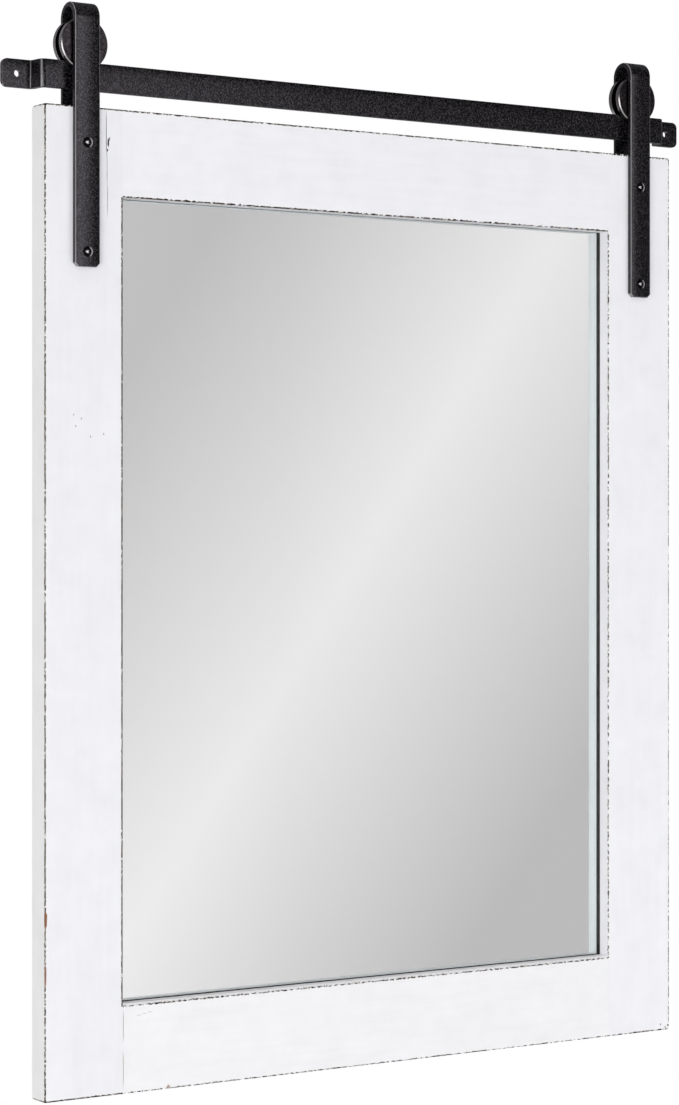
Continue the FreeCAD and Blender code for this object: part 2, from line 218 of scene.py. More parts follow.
def rubbed_through(tree, place, arris, rub):
    """Masks of the bare wood along the arrises and of the thin paint beside it: dashes every few
    millimetres, more of them in some stretches, with ragged edges."""
    fray = add_node(tree, "ShaderNodeTexNoise",
                    {"Vector": place, "Scale": per_mm(FRAY_SIZE), "Detail": 3.0, "Roughness": 0.65})
    stretch = add_node(tree, "ShaderNodeTexNoise",
                       {"Vector": place, "Scale": per_mm(STRETCH_SIZE), "Detail": 3.0})
    rags = add_node(tree, "ShaderNodeTexNoise",
                    {"Vector": place, "Scale": per_mm(RAG_SIZE), "Detail": 2.0, "Roughness": 0.6})
    reach = add_node(tree, "ShaderNodeMath",
                     {0: fray, 1: FRAY_DEPTH, 2: rub - (FRAY_DEPTH + STRETCH_DEPTH) / 2},
                     operation="MULTIPLY_ADD")
    reach = add_node(tree, "ShaderNodeMath", {0: stretch, 1: STRETCH_DEPTH, 2: reach},
                     operation="MULTIPLY_ADD")
    reach = add_node(tree, "ShaderNodeMath", {0: reach, 1: RUB_LIMIT}, operation="MINIMUM")
    reach = add_node(tree, "ShaderNodeMath", {0: reach, 1: RAG_DEPTH / 2}, operation="SUBTRACT")
    reach = add_node(tree, "ShaderNodeMath", {0: rags, 1: RAG_DEPTH, 2: reach}, operation="MULTIPLY_ADD")
    margin = add_node(tree, "ShaderNodeMath", {0: reach, 1: arris}, operation="SUBTRACT")
    worn = add_node(tree, "ShaderNodeMapRange",
                    {"Value": margin, "From Min": 0.0, "From Max": BARE_EDGE},
                    interpolation_type="SMOOTHSTEP")
    thin = add_node(tree, "ShaderNodeMapRange",
                    {"Value": margin, "From Min": -THIN_EDGE, "From Max": 0.0},
                    interpolation_type="SMOOTHSTEP")
    return worn, thin


def white_paint(name, tones, low, high, grain_axis, rub, opening=None, inner_side=0, painted_left_light="#FFFFFF"):
    """Chalky white paint brushed on pine and sanded through at the arrises: cool white with faint
    streaks along the grain, and a broken dark line of bare wood where two faces meet."""
    material, tree = new_material(name)
    place = add_node(tree, "ShaderNodeTexCoord").outputs["Object"]
    arris = arris_distance(tree, place, low, high, grain_axis, opening, inner_side)
    worn, thin = rubbed_through(tree, place, arris, rub)

    # Brushed streaks and cloudy coverage, with painted light on the faces towards the left: a tint
    # multiplied in there
    streak_sizes = along_grain(grain_axis, STREAK_WIDTH, STREAK_LENGTH)
    streak_place = add_node(tree, "ShaderNodeMapping", {"Vector": place, "Scale": per_mm(*streak_sizes)})
    streaks = add_node(tree, "ShaderNodeTexNoise",
                       {"Vector": streak_place, "Scale": 1.0, "Detail": 4.0, "Roughness": 0.6})
    clouds = add_node(tree, "ShaderNodeTexNoise",
                      {"Vector": place, "Scale": per_mm(CLOUD_SIZE), "Detail": 5.0, "Roughness": 0.65})
    coverage = add_node(tree, "ShaderNodeMath", {0: streaks, 1: 0.5, 2: clouds}, operation="MULTIPLY_ADD")
    coat = add_node(tree, "ShaderNodeValToRGB", {"Fac": coverage},
                    stops=[(share, linear(tone)) for share, tone in zip((0.45, 0.7, 1.0), tones)])
    facing = add_node(tree, "ShaderNodeNewGeometry").outputs["Normal"]
    sideways = add_node(tree, "ShaderNodeSeparateXYZ", {0: facing}).outputs["X"]
    painted_light_on_left = add_node(tree, "ShaderNodeMapRange", {"Value": sideways, "From Min": -0.4, "From Max": -0.8})
    paint = add_node(tree, "ShaderNodeMix", {"Factor": painted_light_on_left, "A": coat, "B": linear(painted_left_light)},
                     data_type="RGBA", blend_type="MULTIPLY")

    # Stained wood, and warm wood that shows through the thin paint beside it
    stain = add_node(tree, "ShaderNodeTexNoise",
                     {"Vector": place, "Scale": per_mm(STAIN_SIZE), "Detail": 2.0})
    wood = add_node(tree, "ShaderNodeValToRGB", {"Fac": stain},
                    stops=((0.42, linear("#0C0908")), (0.58, linear("#1C1410")), (0.75, linear("#4F3A2D"))))
    feather = add_node(tree, "ShaderNodeMix", {"Factor": thin, "A": paint, "B": linear("#E4DACF")},
                       data_type="RGBA")
    colour = add_node(tree, "ShaderNodeMix", {"Factor": worn, "A": feather, "B": wood}, data_type="RGBA")

    # The paint film stands proud of the bare wood, with brush ridges on it
    film = add_node(tree, "ShaderNodeMath", {0: worn, 1: -1.0, 2: 1.0}, operation="MULTIPLY_ADD")
    ridges = add_node(tree, "ShaderNodeMath", {0: streaks, 1: 0.35, 2: film}, operation="MULTIPLY_ADD")
    relief = add_node(tree, "ShaderNodeBump",
                      {"Height": ridges, "Strength": 0.5, "Distance": FILM_THICKNESS * MM})
    sheen = add_node(tree, "ShaderNodeMapRange",
                     {"Value": streaks, "From Min": 0.3, "From Max": 0.7, "To Min": 0.5, "To Max": 0.62})
    gloss = add_node(tree, "ShaderNodeMath", {0: worn, 1: -0.5, 2: 0.5}, operation="MULTIPLY_ADD")
    shader = add_node(tree, "ShaderNodeBsdfPrincipled",
                      {"Base Color": colour, "Roughness": sheen, "Normal": relief, "IOR": 1.5,
                       "Specular IOR Level": gloss})
    add_node(tree, "ShaderNodeOutputMaterial", {"Surface": shader})
    return material


# Growth rings: how many times longer than wide, and their relief in millimetres
RING_STRETCH = 24
RING_RELIEF = 0.2


def bare_wood(name, dark, mid, pale, ring_width, grain_axis="Z"):
    """Unpainted wood: growth rings as long streaks along the grain, with finer fibres between them."""
    material, tree = new_material(name)
    place = add_node(tree, "ShaderNodeTexCoord").outputs["Object"]
    ring_sizes = along_grain(grain_axis, ring_width, ring_width * RING_STRETCH)
    along = add_node(tree, "ShaderNodeMapping", {"Vector": place, "Scale": per_mm(*ring_sizes)})
    rings = add_node(tree, "ShaderNodeTexNoise",
                     {"Vector": along, "Scale": 1.0, "Detail": 5.0, "Roughness": 0.62, "Distortion": 0.4})
    fibres = add_node(tree, "ShaderNodeTexNoise", {"Vector": along, "Scale": 6.0, "Detail": 2.0})
    tone = add_node(tree, "ShaderNodeMath", {0: fibres, 1: 0.35, 2: rings}, operation="MULTIPLY_ADD")
    colour = add_node(tree, "ShaderNodeValToRGB", {"Fac": tone},
                      stops=((0.45, linear(dark)), (0.65, linear(mid)), (0.85, linear(pale))))
    relief = add_node(tree, "ShaderNodeBump",
                      {"Height": tone, "Strength": 0.6, "Distance": RING_RELIEF * MM})
    shader = add_node(tree, "ShaderNodeBsdfPrincipled",
                      {"Base Color": colour, "Roughness": 0.8, "Normal": relief, "Specular IOR Level": 0.1})
    add_node(tree, "ShaderNodeOutputMaterial", {"Surface": shader})
    return material


# Metal, plastic, hardboard and glass, with sizes in millimetres

# The pebbles of a powder coat are finer than this, and are drawn as coarse as they need to show
PEBBLE_SIZE = 1.05
PEBBLE_RELIEF = 0.065

# How far a flat bar falls away towards its edges, over its width and close to the edges
CROWN = 0.5
ROLLED_EDGE = 0.2

# How far an arris turns to the side before it is painted paler as a highlight, on the straps and on the
# track
PAINTED_HIGHLIGHT_FROM = {"X": 0.3, "Z": 0.56}


def powder_coat(name, node, across):
    """Black powder coat on rolled flat bar: nearly black, satin, with a fine pebbled skin that breaks
    the shine into small specks, and a painted highlight of pale grey where an arris or a bend turns to the
    side. The bar is faintly crowned, so the shine fades from one edge to the other."""
    low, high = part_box(node)
    centre = (low + high) / 2
    half = (high - low) / 2
    material, tree = new_material(name)
    place = add_node(tree, "ShaderNodeTexCoord").outputs["Object"]
    pebbles = add_node(tree, "ShaderNodeTexNoise",
                       {"Vector": place, "Scale": per_mm(PEBBLE_SIZE), "Detail": 1.5, "Roughness": 0.6})
    specks = add_node(tree, "ShaderNodeValToRGB", {"Fac": pebbles},
                      stops=((0.38, linear("#030303")), (0.5, linear("#0B0A0B")),
                             (0.65, linear("#312E32"))))
    facing = add_node(tree, "ShaderNodeNewGeometry").outputs["Normal"]
    sideways = add_node(tree, "ShaderNodeSeparateXYZ", {0: facing}).outputs["X"]
    sideways = add_node(tree, "ShaderNodeMath", {0: sideways}, operation="ABSOLUTE")
    start = PAINTED_HIGHLIGHT_FROM[across]
    # Painted highlight: where the surface turns to the side, the colour goes over to pale grey
    painted_highlight = add_node(tree, "ShaderNodeValToRGB", {"Fac": sideways},
                      stops=((start, linear("#000000")), (start + 0.12, linear("#FFFFFF")),
                             (0.74, linear("#FFFFFF")), (0.86, linear("#000000"))))
    colour = add_node(tree, "ShaderNodeMix", {"Factor": painted_highlight, "A": specks, "B": linear("#858286")},
                      data_type="RGBA")
    shine = add_node(tree, "ShaderNodeMapRange",
                     {"Value": pebbles, "From Min": 0.3, "From Max": 0.7, "To Min": 0.14, "To Max": 0.24})
    glint = add_node(tree, "ShaderNodeMapRange",
                     {"Value": pebbles, "From Min": 0.35, "From Max": 0.65, "To Min": 0.3, "To Max": 0.72})

    # Height of the skin in millimetres: pebbles on a bar that falls away towards both edges
    share = add_node(tree, "ShaderNodeMapping",
                     {"Vector": place, "Scale": [1 / size for size in half],
                      "Location": [-mid / size for mid, size in zip(centre, half)]})
    share = add_node(tree, "ShaderNodeSeparateXYZ", {0: share}).outputs[across]
    square = add_node(tree, "ShaderNodeMath", {0: share, 1: share}, operation="MULTIPLY")
    near_edge = add_node(tree, "ShaderNodeMath", {0: square, 1: 3.0}, operation="POWER")
    height = add_node(tree, "ShaderNodeMath", {0: pebbles, 1: PEBBLE_RELIEF}, operation="MULTIPLY")
    height = add_node(tree, "ShaderNodeMath", {0: square, 1: -CROWN, 2: height}, operation="MULTIPLY_ADD")
    height = add_node(tree, "ShaderNodeMath", {0: near_edge, 1: -ROLLED_EDGE, 2: height},
                      operation="MULTIPLY_ADD")
    relief = add_node(tree, "ShaderNodeBump", {"Height": height, "Strength": 1.0, "Distance": MM})
    shader = add_node(tree, "ShaderNodeBsdfPrincipled",
                      {"Base Color": colour, "Roughness": shine, "Normal": relief, "IOR": 1.5,
                       "Specular IOR Level": glint})
    add_node(tree, "ShaderNodeOutputMaterial", {"Surface": shader})
    return material


# Wheels: spacing and relief of the tool's rings, size of the mottle, where the grey rim tone starts and
# is full inside the rim, and half the groove's width, which is painted as shade. Real rings are finer than
# these, which are drawn as coarse as they need to show
RING_PITCH = 0.9
RING_HEIGHT = 0.05
WHEEL_MOTTLE = 2.5
RIM_TONE_SPAN = (0.7, 0.4)
GROOVE_HALF = 2.8

# A wave texture of scale 1 repeats after 2 pi / 20
WAVE_REPEAT = 2 * math.pi / 20


def turned_wheel(name, node):
    """Blackened steel wheel off the lathe: faint rings round the axle on a dark face, grey rims brighter at
    their corners as a painted highlight, and the groove painted nearly black as shade."""
    low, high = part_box(node)
    centre = (low + high) / 2
    radius = (high.z - low.z) / 2
    half_width = (high.y - low.y) / 2
    material, tree = new_material(name)
    place = add_node(tree, "ShaderNodeTexCoord").outputs["Object"]
    hub = add_node(tree, "ShaderNodeMapping", {"Vector": place, "Location": -centre})
    rings = add_node(tree, "ShaderNodeTexWave",
                     {"Vector": hub, "Scale": WAVE_REPEAT / (RING_PITCH * MM), "Distortion": 0.6,
                      "Detail": 2.0, "Detail Scale": 1.5},
                     wave_type="RINGS", rings_direction="Y")
    mottle = add_node(tree, "ShaderNodeTexNoise",
                      {"Vector": place, "Scale": per_mm(WHEEL_MOTTLE), "Detail": 3.0})
    tone = add_node(tree, "ShaderNodeMath", {0: rings, 1: 0.3, 2: mottle}, operation="MULTIPLY_ADD")
    face = add_node(tree, "ShaderNodeValToRGB", {"Fac": tone},
                    stops=((0.35, linear("#262425")), (0.6, linear("#373536")), (0.9, linear("#5C5859"))))
    spoke = add_node(tree, "ShaderNodeVectorMath", {0: hub, 1: (1, 0, 1)}, operation="MULTIPLY")
    out = add_node(tree, "ShaderNodeVectorMath", {0: spoke}, operation="LENGTH").outputs["Value"]
    rim_tone_start, rim_tone_full = (radius - inside * MM for inside in RIM_TONE_SPAN)
    at_rim = add_node(tree, "ShaderNodeMapRange",
                      {"Value": out, "From Min": rim_tone_start, "From Max": rim_tone_full})
    off_middle = add_node(tree, "ShaderNodeSeparateXYZ", {0: hub}).outputs["Y"]
    off_middle = add_node(tree, "ShaderNodeMath", {0: off_middle}, operation="ABSOLUTE")
    outward = add_node(tree, "ShaderNodeMath", {0: off_middle, 1: half_width}, operation="DIVIDE")
    # Grey rim tone, paler at both corners as a painted highlight
    rim = add_node(tree, "ShaderNodeValToRGB", {"Fac": outward},
                   stops=((0.42, linear("#C8C6C4")), (0.5, linear("#A3A1A0")), (0.88, linear("#A3A1A0")),
                          (0.95, linear("#B5B2B0"))))
    painted_highlight = add_node(tree, "ShaderNodeMix", {"Factor": at_rim, "A": face, "B": rim}, data_type="RGBA")
    # Painted shade: the groove is painted nearly black
    groove = add_node(tree, "ShaderNodeMath", {0: off_middle, 1: GROOVE_HALF * MM}, operation="LESS_THAN")
    colour = add_node(tree, "ShaderNodeMix", {"Factor": groove, "A": painted_highlight, "B": linear("#040404")},
                      data_type="RGBA")
    relief = add_node(tree, "ShaderNodeBump",
                      {"Height": rings, "Strength": 0.25, "Distance": RING_HEIGHT * MM})
    shader = add_node(tree, "ShaderNodeBsdfPrincipled",
                      {"Base Color": colour, "Roughness": 0.26, "Normal": relief, "Metallic": 1.0})
    add_node(tree, "ShaderNodeOutputMaterial", {"Surface": shader})
    return material


# Screws: radius of the pale spot in the recess that is a painted glint, its soft edge, the width of the
# rim's painted highlight, and the size of the mottle
GLINT_SPOT_RADIUS = 0.95
SPOT_EDGE = 0.3
RIM_HIGHLIGHT_WIDTH = 1.2
OXIDE_MOTTLE = 0.8


def driven_screws(name, node):
    """Black oxide screws: nearly black heads, with a pale matt spot in the driver's recess as a painted
    glint, and a painted highlight in grey on the right of the rim; both are matt, not metallic."""
    low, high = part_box(node)
    head = high.x - low.x
    apart = (high.z - low.z) - head
    material, tree = new_material(name)
    place = add_node(tree, "ShaderNodeTexCoord").outputs["Object"]
    mottle = add_node(tree, "ShaderNodeTexNoise",
                      {"Vector": place, "Scale": per_mm(OXIDE_MOTTLE), "Detail": 4.0, "Roughness": 0.6})
    oxide = add_node(tree, "ShaderNodeValToRGB", {"Fac": mottle},
                     stops=((0.35, linear("#0A0A0B")), (0.65, linear("#1E1E20"))))

    # Distance to the nearer screw's axis
    middle = add_node(tree, "ShaderNodeMapping", {"Vector": place, "Location": -(low + high) / 2})
    folded = add_node(tree, "ShaderNodeVectorMath", {0: middle}, operation="ABSOLUTE")
    from_axis = add_node(tree, "ShaderNodeVectorMath", {0: folded, 1: (0, 0, apart / 2)},
                         operation="SUBTRACT")
    level = add_node(tree, "ShaderNodeVectorMath", {0: from_axis, 1: (1, 0, 1)}, operation="MULTIPLY")
    out = add_node(tree, "ShaderNodeVectorMath", {0: level}, operation="LENGTH").outputs["Value"]

    # The painted glint in the recess, and the painted highlight on the right half of the rim
    painted_glint = add_node(tree, "ShaderNodeMapRange",
                    {"Value": out, "From Min": GLINT_SPOT_RADIUS * MM, "From Max": (GLINT_SPOT_RADIUS + SPOT_EDGE) * MM,
                     "To Min": 1.0, "To Max": 0.0})
    at_rim = add_node(tree, "ShaderNodeMapRange",
                      {"Value": out, "From Min": head / 2 - RIM_HIGHLIGHT_WIDTH * MM, "From Max": head / 2})
    rightward = add_node(tree, "ShaderNodeSeparateXYZ", {0: middle}).outputs["X"]
    on_right = add_node(tree, "ShaderNodeMapRange",
                        {"Value": rightward, "From Min": head / 8, "From Max": head / 3})
    painted_highlight = add_node(tree, "ShaderNodeMath", {0: at_rim, 1: on_right}, operation="MULTIPLY")
    spotted = add_node(tree, "ShaderNodeMix", {"Factor": painted_glint, "A": oxide, "B": linear("#FAF9F8")},
                       data_type="RGBA")
    colour = add_node(tree, "ShaderNodeMix", {"Factor": painted_highlight, "A": spotted, "B": linear("#B8B5B7")},
                      data_type="RGBA")
    # The painted glint and highlight are matt, not metallic
    painted_glints = add_node(tree, "ShaderNodeMath", {0: painted_glint, 1: painted_highlight}, operation="MAXIMUM")
    metal = add_node(tree, "ShaderNodeMath", {0: 1.0, 1: painted_glints}, operation="SUBTRACT")
    shine = add_node(tree, "ShaderNodeMapRange",
                     {"Value": mottle, "From Min": 0.3, "From Max": 0.7, "To Min": 0.3, "To Max": 0.45})
    shader = add_node(tree, "ShaderNodeBsdfPrincipled",
                      {"Base Color": colour, "Roughness": shine, "Metallic": metal})
    add_node(tree, "ShaderNodeOutputMaterial", {"Surface": shader})
    return material


def plated_steel(name, dark, pale, roughness, speckle):
    """Plated steel: metallic, with a fine mottle in its tone and its shine."""
    material, tree = new_material(name)
    place = add_node(tree, "ShaderNodeTexCoord").outputs["Object"]
    mottle = add_node(tree, "ShaderNodeTexNoise",
                      {"Vector": place, "Scale": per_mm(speckle), "Detail": 4.0, "Roughness": 0.6})
    colour = add_node(tree, "ShaderNodeValToRGB", {"Fac": mottle},
                      stops=((0.3, linear(dark)), (0.7, linear(pale))))
    shine = add_node(tree, "ShaderNodeMapRange",
                     {"Value": mottle, "From Min": 0.3, "From Max": 0.7,
                      "To Min": roughness * 0.8, "To Max": roughness * 1.2})
    shader = add_node(tree, "ShaderNodeBsdfPrincipled",
                      {"Base Color": colour, "Roughness": shine, "Metallic": 1.0})
    add_node(tree, "ShaderNodeOutputMaterial", {"Surface": shader})
    return material


MOULD_RELIEF = 0.05


def moulded(name, dark, pale, roughness, grain):
    """Moulded plastic or rubber: soft, even colour with a fine moulding grain."""
    material, tree = new_material(name)
    place = add_node(tree, "ShaderNodeTexCoord").outputs["Object"]
    grit = add_node(tree, "ShaderNodeTexNoise",
                    {"Vector": place, "Scale": per_mm(grain), "Detail": 3.0})
    colour = add_node(tree, "ShaderNodeValToRGB", {"Fac": grit},
                      stops=((0.3, linear(dark)), (0.7, linear(pale))))
    relief = add_node(tree, "ShaderNodeBump",
                      {"Height": grit, "Strength": 0.3, "Distance": MOULD_RELIEF * MM})
    shader = add_node(tree, "ShaderNodeBsdfPrincipled",
                      {"Base Color": colour, "Roughness": roughness, "Normal": relief})
    add_node(tree, "ShaderNodeOutputMaterial", {"Surface": shader})
    return material


FIBRE_SIZE = 1.6
FIBRE_RELIEF = 0.15
PRESS_CLOUD = 45.0


def hardboard(name):
    """Pressed hardboard: warm brown, with matted fibres and a few dark flecks."""
    material, tree = new_material(name)
    place = add_node(tree, "ShaderNodeTexCoord").outputs["Object"]
    mat = add_node(tree, "ShaderNodeTexNoise",
                   {"Vector": place, "Scale": per_mm(FIBRE_SIZE), "Detail": 5.0, "Roughness": 0.7,
                    "Distortion": 1.2})
    clouds = add_node(tree, "ShaderNodeTexNoise",
                      {"Vector": place, "Scale": per_mm(PRESS_CLOUD), "Detail": 3.0})
    tone = add_node(tree, "ShaderNodeMath", {0: clouds, 1: 0.5, 2: mat}, operation="MULTIPLY_ADD")
    colour = add_node(tree, "ShaderNodeValToRGB", {"Fac": tone},
                      stops=((0.5, linear("#5E432E")), (0.75, linear("#7D5C41")), (1.0, linear("#997656"))))
    relief = add_node(tree, "ShaderNodeBump",
                      {"Height": mat, "Strength": 0.4, "Distance": FIBRE_RELIEF * MM})
    shader = add_node(tree, "ShaderNodeBsdfPrincipled",
                      {"Base Color": colour, "Roughness": 0.7, "Normal": relief})
    add_node(tree, "ShaderNodeOutputMaterial", {"Surface": shader})
    return material


def float_glass(name):
    """Clear float glass with the faint green of its iron."""
    material, tree = new_material(name)
    shader = add_node(tree, "ShaderNodeBsdfPrincipled",
                      {"Base Color": linear("#FAFEFD"), "Roughness": 0.0, "IOR": 1.52,
                       "Transmission Weight": 1.0})
    add_node(tree, "ShaderNodeOutputMaterial", {"Surface": shader})
    return material


def silver_coat(name):
    """Chemically deposited silver behind the pane: a sharp, almost colourless reflection."""
    material, tree = new_material(name)
    shader = add_node(tree, "ShaderNodeBsdfPrincipled",
                      {"Base Color": linear("#F8F8F8"), "Roughness": 0.0, "Metallic": 1.0})
    add_node(tree, "ShaderNodeOutputMaterial", {"Surface": shader})
    return material


# Modelling helpers

def deselect():
    """Leaves nothing selected."""
    bpy.ops.object.select_all(action="DESELECT")


def activate(piece):
    """Makes one object the only selected one."""
    deselect()
    piece.select_set(True)
    bpy.context.view_layer.objects.active = piece


def add_block(name, low, high):
    """A box between two corners, whose object sits at the origin."""
    deselect()
    bpy.ops.mesh.primitive_cube_add(size=1.0, location=(low + high) / 2)
    block = bpy.context.active_object
    block.name = name
    block.scale = high - low
    bpy.ops.object.transform_apply(location=True, rotation=True, scale=True)
    return block


def select_edges(piece, wanted):
    """Selects, in edit mode, the edges whose two ends together pass the test."""
    mesh = bmesh.from_edit_mesh(piece.data)
    for edge in mesh.edges:
        edge.select_set(False)
    for edge in mesh.edges:
        if wanted(*(corner.co for corner in edge.verts)):
            edge.select_set(True)
    bmesh.update_edit_mesh(piece.data)


def same(*values):
    """Whether places along one axis are the same."""
    return max(values) - min(values) < SAME_PLACE * MM


def cut_away(piece, cutter):
    """Cuts one mesh out of another, and throws the cutter away."""
    activate(piece)
    cut = piece.modifiers.new("cut", "BOOLEAN")
    cut.operation = "DIFFERENCE"
    cut.solver = "MANIFOLD"
    cut.material_mode = "TRANSFER"
    cut.object = cutter
    bpy.ops.object.modifier_apply(modifier=cut.name)
    bpy.data.objects.remove(cutter)


# Boards

pick = random.Random(11)

pane_low, pane_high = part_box("mirror_glass")
stile_boxes = {side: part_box(side + "_stile") for side in SIDES}
rail_boxes = {end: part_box(end + "_rail") for end in ("top", "bottom")}
opening_top = rail_boxes["top"][0].z
opening_bottom = rail_boxes["bottom"][1].z
front_y = stile_boxes["left"][0].y
back_y = stile_boxes["left"][1].y

old_wood = bare_wood("worn_pine_stained", "#0F0B09", "#211812", "#3D2D23", ring_width=1.5)
fresh_wood = bare_wood("worn_pine_fresh", "#5A3B2D", "#8C6450", "#B58E78", ring_width=1.5)
rubbed_wood = bare_wood("worn_pine_rubbed", "#94847C", "#B0A199", "#CABDB6", ring_width=1.5)
# Painted shade: a nearly black stained finish in the rabbets of the stiles and the bottom rail, which
# darkens the line seen through the glass at the pane's edges
rabbet_painted_shade = bare_wood("rabbet_dark_painted_shade", "#0C0A09", "#171311", "#241D19", ring_width=3.0)
upright_pine = bare_wood("raw_pine_upright", "#A67F53", "#C9A577", "#DCC097", ring_width=5.0)
level_pine = bare_wood("raw_pine_level", "#A67F53", "#C9A577", "#DCC097", ring_width=5.0, grain_axis="X")


def front_point(x, z):
    """A point on the front of the boards, from millimetres."""
    return Vector((x * MM, front_y, z * MM))


def chips_along(start, end, spacing, bite):
    """Flaked spots along one arris, as centres and radii: long, broad on the face and shallow."""
    run = end - start
    direction = run.normalized()
    found = []
    travelled = CORNER_MARGIN
    while travelled < run.length / MM - CORNER_MARGIN:
        step = spacing * pick.uniform(*CHIP_STEP)
        along = min(step * CHIP_REACH, pick.uniform(*CHIP_HALF_LENGTH))
        across = bite * pick.uniform(*CHIP_BITE)
        into = CHIP_DEPTH + DEPTH_OF_BITE * across
        centre = start + direction * (travelled + step / 2) * MM
        travelled += step
        found.append((centre, (along, into, across) if direction.x else (across, into, along)))
    return found


def chip_cutter(chips, finish):
    """One mesh of small pointed lumps, each the shape of a chip that broke away."""
    deselect()
    bpy.ops.mesh.primitive_ico_sphere_add(subdivisions=1)
    cutter = bpy.context.active_object
    bpy.ops.object.mode_set(mode="EDIT")
    bpy.ops.mesh.delete(type="VERT")
    for centre, radii in chips:
        bpy.ops.mesh.primitive_ico_sphere_add(subdivisions=1, location=centre,
                                              scale=[radius * MM for radius in radii])
    bpy.ops.mesh.select_all(action="SELECT")
    bpy.ops.transform.vertex_random(offset=CHIP_UNEVEN * MM, seed=3)
    bpy.ops.object.mode_set(mode="OBJECT")
    cutter.data.materials.append(finish)
    return cutter


def cut_rabbet(board, finish, relief):
    """The pocket behind the lip that takes the pane."""
    clearance = PANE_CLEARANCE * MM
    low = Vector((pane_low.x - clearance, pane_low.y - relief * MM, pane_low.z - clearance))
    high = Vector((pane_high.x + clearance, back_y + CUT_OVERRUN * MM, pane_high.z + clearance))
    cutter = add_block("rabbet", low, high)
    cutter.data.materials.append(finish)
    cut_away(board, cutter)


def cut_strap_housing(board, side):
    """The shallow seat in the back of a stile for the hanger's back leg."""
    strap_low, strap_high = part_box(side + "_hanger_strap")
    clearance = STRAP_CLEARANCE * MM
    top = stile_boxes[side][1].z
    low = Vector((strap_low.x - clearance, back_y - STRAP_LET_IN * MM,
                  top - BACK_LEG_DROP * MM - clearance))
    high = Vector((strap_high.x + clearance, back_y + CUT_OVERRUN * MM, top + CUT_OVERRUN * MM))
    cutter = add_block("housing", low, high)
    cutter.data.materials.append(upright_pine)
    cut_away(board, cutter)


def finish_board(board, node):
    """Raw wood on the back, flat shading, and the board's place in the assembly."""
    for face in board.data.polygons:
        if face.normal.y > 0.5 and face.center.y > back_y - BACK_SKIN * MM:
            face.material_index = RAW_PINE
    activate(board)
    bpy.ops.object.shade_flat()
    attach(board, DOOR)
    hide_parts(node)


def stile(side, tones, rub, outer_chips, inner_chips, end_chips, corner_bites, marks=()):
    """An upright board, full height, with worn arrises except where the rails butt against it."""
    node = side + "_stile"
    low, high = stile_boxes[side]
    outer_x, inner_x = (low.x, high.x) if side == "left" else (high.x, low.x)
    board = add_block("painted_" + node, low, high)
    rubbed_low = low + Vector((0.0, 0.0, LOW_RUB)) * MM
    rubbed_high = high - Vector((RIGHT_RUB[side], 0.0, TOP_RUB[side])) * MM
    paint = white_paint("white_paint_" + node, tones, rubbed_low, rubbed_high, "Z", rub,
                        opening=(opening_bottom, opening_top), inner_side=-SIDES[side],
                        painted_left_light=LEFT_FACE_PAINTED_LIGHT[side])
    for finish in (paint, upright_pine, old_wood, fresh_wood):
        board.data.materials.append(finish)

    def is_worn(a, b):
        """The outer arrises, those along the opening, and the front and outer ones at both ends."""
        middle = (a + b) / 2
        on_front = same(middle.y, front_y)
        on_outside = same(middle.x, outer_x)
        beside_pane = on_front and same(middle.x, inner_x) and opening_bottom < middle.z < opening_top
        upright = same(a.x, b.x) and same(a.y, b.y)
        at_end = same(a.z, b.z, low.z) or same(a.z, b.z, high.z)
        return (upright and (on_outside or beside_pane)) or (at_end and (on_front or on_outside))

    bpy.ops.object.mode_set(mode="EDIT")
    for level in (opening_top, opening_bottom):
        bpy.ops.mesh.select_all(action="SELECT")
        bpy.ops.mesh.bisect(plane_co=(0, 0, level), plane_no=(0, 0, 1))
    select_edges(board, is_worn)
    bpy.ops.mesh.bevel(offset=ARRIS_ROUND * MM, segments=ARRIS_STEPS, profile=0.5)
    bpy.ops.object.mode_set(mode="OBJECT")

    chips = chips_along(Vector((outer_x, front_y, low.z)), Vector((outer_x, front_y, high.z)), *outer_chips)
    chips += chips_along(Vector((inner_x, front_y, opening_bottom)),
                         Vector((inner_x, front_y, opening_top)), *inner_chips)
    for level in (low.z, high.z):
        chips += chips_along(Vector((low.x, front_y, level)), Vector((high.x, front_y, level)), *end_chips)
    ends = tuple(zip((low.z, high.z), corner_bites))
    corners = [(Vector((outer_x, front_y, level)), (bite, bite * CORNER_DEPTH, bite))
               for level, bite in ends]
    back_corners = [(Vector((outer_x, back_y, level)), (bite, bite, bite)) for level, bite in ends]
    for spots, finish in ((chips, old_wood), (corners, old_wood), (back_corners, paint), *marks):
        cut_away(board, chip_cutter(spots, finish))
    cut_rabbet(board, rabbet_painted_shade, LIP_RELIEF["stile"])
    cut_strap_housing(board, side)
    finish_board(board, node)


